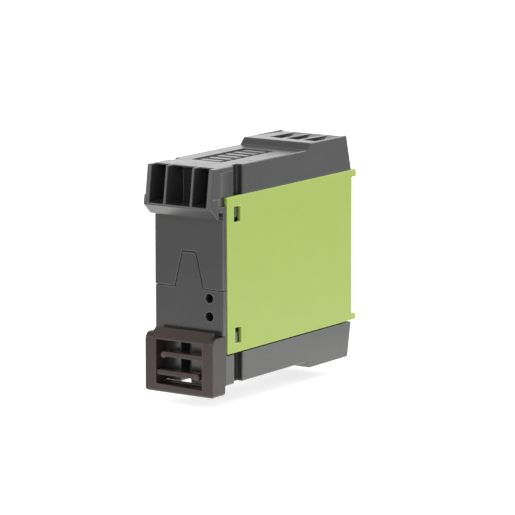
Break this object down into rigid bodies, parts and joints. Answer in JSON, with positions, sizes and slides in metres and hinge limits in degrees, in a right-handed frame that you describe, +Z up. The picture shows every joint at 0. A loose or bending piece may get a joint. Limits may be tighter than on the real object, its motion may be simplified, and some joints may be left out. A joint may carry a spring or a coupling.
{
  "type": "timer relay",
  "caption": "Narrow rail-mounted timer relay: dark two-part housing, green hood, sprung rail latch, front adjusters and screw terminals at both ends.",
  "frame": {"origin": "centre of the rear face that seats on the mounting rail, on the rail's centre line", "axes": "+X across the width, +Y from the rail to the front with the adjusters, +Z up from the latch to the fixed hook"},
  "size_m": [0.0226, 0.0704, 0.0633],
  "materials": {
    "housing_plastic": "dark grey moulded plastic, fine matt grain",
    "cover_plastic": "lime green moulded plastic, fine matt grain",
    "latch_plastic": "dark brown spring plastic",
    "knob_plastic": "pale grey plastic",
    "light_plastic": "clear and coloured plastic",
    "circuit_board": "glass-fibre board, green solder resist",
    "part_plastic": "moulded component cases",
    "relay_plastic": "pale relay case",
    "can_metal": "aluminium capacitor can",
    "screw_steel": "zinc-plated steel",
    "busbar_brass": "tinned brass strip"
  },
  "bodies": {
    "housing": {"upper_housing": "housing_plastic", "lower_housing": "housing_plastic", "front_cover": "cover_plastic", "main_board": "circuit_board", "front_board": "circuit_board", "output_relay": "relay_plastic", "dropper_capacitor": "relay_plastic", "smoothing_capacitor": "can_metal", "surge_suppressor": "part_plastic", "timer_chip": "part_plastic", "bridge_rectifier": "part_plastic", "range_switch": "part_plastic", "time_potentiometer": "part_plastic", "function_switch": "part_plastic", "power_light": "light_plastic", "power_light_pipe": "light_plastic", "output_light": "light_plastic", "output_light_pipe": "light_plastic", "busbar_upper_1": "busbar_brass", "busbar_upper_2": "busbar_brass", "busbar_upper_3": "busbar_brass", "busbar_lower_1": "busbar_brass", "busbar_lower_2": "busbar_brass", "busbar_lower_3": "busbar_brass"},
    "latch": {"rail_latch": "latch_plastic", "upper_spring_arm": "latch_plastic", "lower_spring_arm": "latch_plastic"},
    "range_knob": {"range_knob": "knob_plastic"},
    "time_knob": {"time_knob": "knob_plastic"},
    "function_knob": {"function_knob": "knob_plastic"},
    "screw_upper_1": {"terminal_screw_upper_1": "screw_steel"},
    "cage_upper_1": {"clamp_cage_upper_1": "screw_steel"},
    "screw_upper_2": {"terminal_screw_upper_2": "screw_steel"},
    "cage_upper_2": {"clamp_cage_upper_2": "screw_steel"},
    "screw_upper_3": {"terminal_screw_upper_3": "screw_steel"},
    "cage_upper_3": {"clamp_cage_upper_3": "screw_steel"},
    "screw_lower_1": {"terminal_screw_lower_1": "screw_steel"},
    "cage_lower_1": {"clamp_cage_lower_1": "screw_steel"},
    "screw_lower_2": {"terminal_screw_lower_2": "screw_steel"},
    "cage_lower_2": {"clamp_cage_lower_2": "screw_steel"},
    "screw_lower_3": {"terminal_screw_lower_3": "screw_steel"},
    "cage_lower_3": {"clamp_cage_lower_3": "screw_steel"}
  },
  "joints": [
    {"name": "latch_slide", "type": "slide", "parent": "housing", "child": "latch", "axis": [0, 0, -1], "range_m": [0, 0.0032], "stiffness_N_per_m": 2000, "springref_m": -0.001, "deforming": ["upper_spring_arm", "lower_spring_arm"]},
    {"name": "range_turn", "type": "hinge", "parent": "housing", "child": "range_knob", "pos_m": [0, 0.06, 0.0095], "axis": [0, -1, 0], "range_deg": [-105, 105]},
    {"name": "time_turn", "type": "hinge", "parent": "housing", "child": "time_knob", "pos_m": [0, 0.06, -0.0015], "axis": [0, -1, 0], "range_deg": [-140, 140]},
    {"name": "function_turn", "type": "hinge", "parent": "housing", "child": "function_knob", "pos_m": [0, 0.06, -0.0125], "axis": [0, -1, 0], "range_deg": [-105, 105]},
    {"name": "screw_turn_upper_1", "type": "hinge", "parent": "housing", "child": "screw_upper_1", "pos_m": [-0.0034, 0.055, 0.0251], "axis": [0, -1, 0], "range_deg": [0, 1440]},
    {"name": "cage_slide_upper_1", "type": "slide", "parent": "housing", "child": "cage_upper_1", "axis": [0, 1, 0], "range_m": [0, 0.0018]},
    {"name": "screw_turn_upper_2", "type": "hinge", "parent": "housing", "child": "screw_upper_2", "pos_m": [0.0021, 0.055, 0.0251], "axis": [0, -1, 0], "range_deg": [0, 1440]},
    {"name": "cage_slide_upper_2", "type": "slide", "parent": "housing", "child": "cage_upper_2", "axis": [0, 1, 0], "range_m": [0, 0.0018]},
    {"name": "screw_turn_upper_3", "type": "hinge", "parent": "housing", "child": "screw_upper_3", "pos_m": [0.0076, 0.055, 0.0251], "axis": [0, -1, 0], "range_deg": [0, 1440]},
    {"name": "cage_slide_upper_3", "type": "slide", "parent": "housing", "child": "cage_upper_3", "axis": [0, 1, 0], "range_m": [0, 0.0018]},
    {"name": "screw_turn_lower_1", "type": "hinge", "parent": "housing", "child": "screw_lower_1", "pos_m": [-0.0034, 0.055, -0.0251], "axis": [0, -1, 0], "range_deg": [0, 1440]},
    {"name": "cage_slide_lower_1", "type": "slide", "parent": "housing", "child": "cage_lower_1", "axis": [0, 1, 0], "range_m": [0, 0.0018]},
    {"name": "screw_turn_lower_2", "type": "hinge", "parent": "housing", "child": "screw_lower_2", "pos_m": [0.0021, 0.055, -0.0251], "axis": [0, -1, 0], "range_deg": [0, 1440]},
    {"name": "cage_slide_lower_2", "type": "slide", "parent": "housing", "child": "cage_lower_2", "axis": [0, 1, 0], "range_m": [0, 0.0018]},
    {"name": "screw_turn_lower_3", "type": "hinge", "parent": "housing", "child": "screw_lower_3", "pos_m": [0.0076, 0.055, -0.0251], "axis": [0, -1, 0], "range_deg": [0, 1440]},
    {"name": "cage_slide_lower_3", "type": "slide", "parent": "housing", "child": "cage_lower_3", "axis": [0, 1, 0], "range_m": [0, 0.0018]}
  ],
  "couplings": [
    {"joint": "screw_turn_upper_1", "follows": "cage_slide_upper_1", "rad_per_m": 13962},
    {"joint": "screw_turn_upper_2", "follows": "cage_slide_upper_2", "rad_per_m": 13962},
    {"joint": "screw_turn_upper_3", "follows": "cage_slide_upper_3", "rad_per_m": 13962},
    {"joint": "screw_turn_lower_1", "follows": "cage_slide_lower_1", "rad_per_m": 13962},
    {"joint": "screw_turn_lower_2", "follows": "cage_slide_lower_2", "rad_per_m": 13962},
    {"joint": "screw_turn_lower_3", "follows": "cage_slide_lower_3", "rad_per_m": 13962}
  ]
}
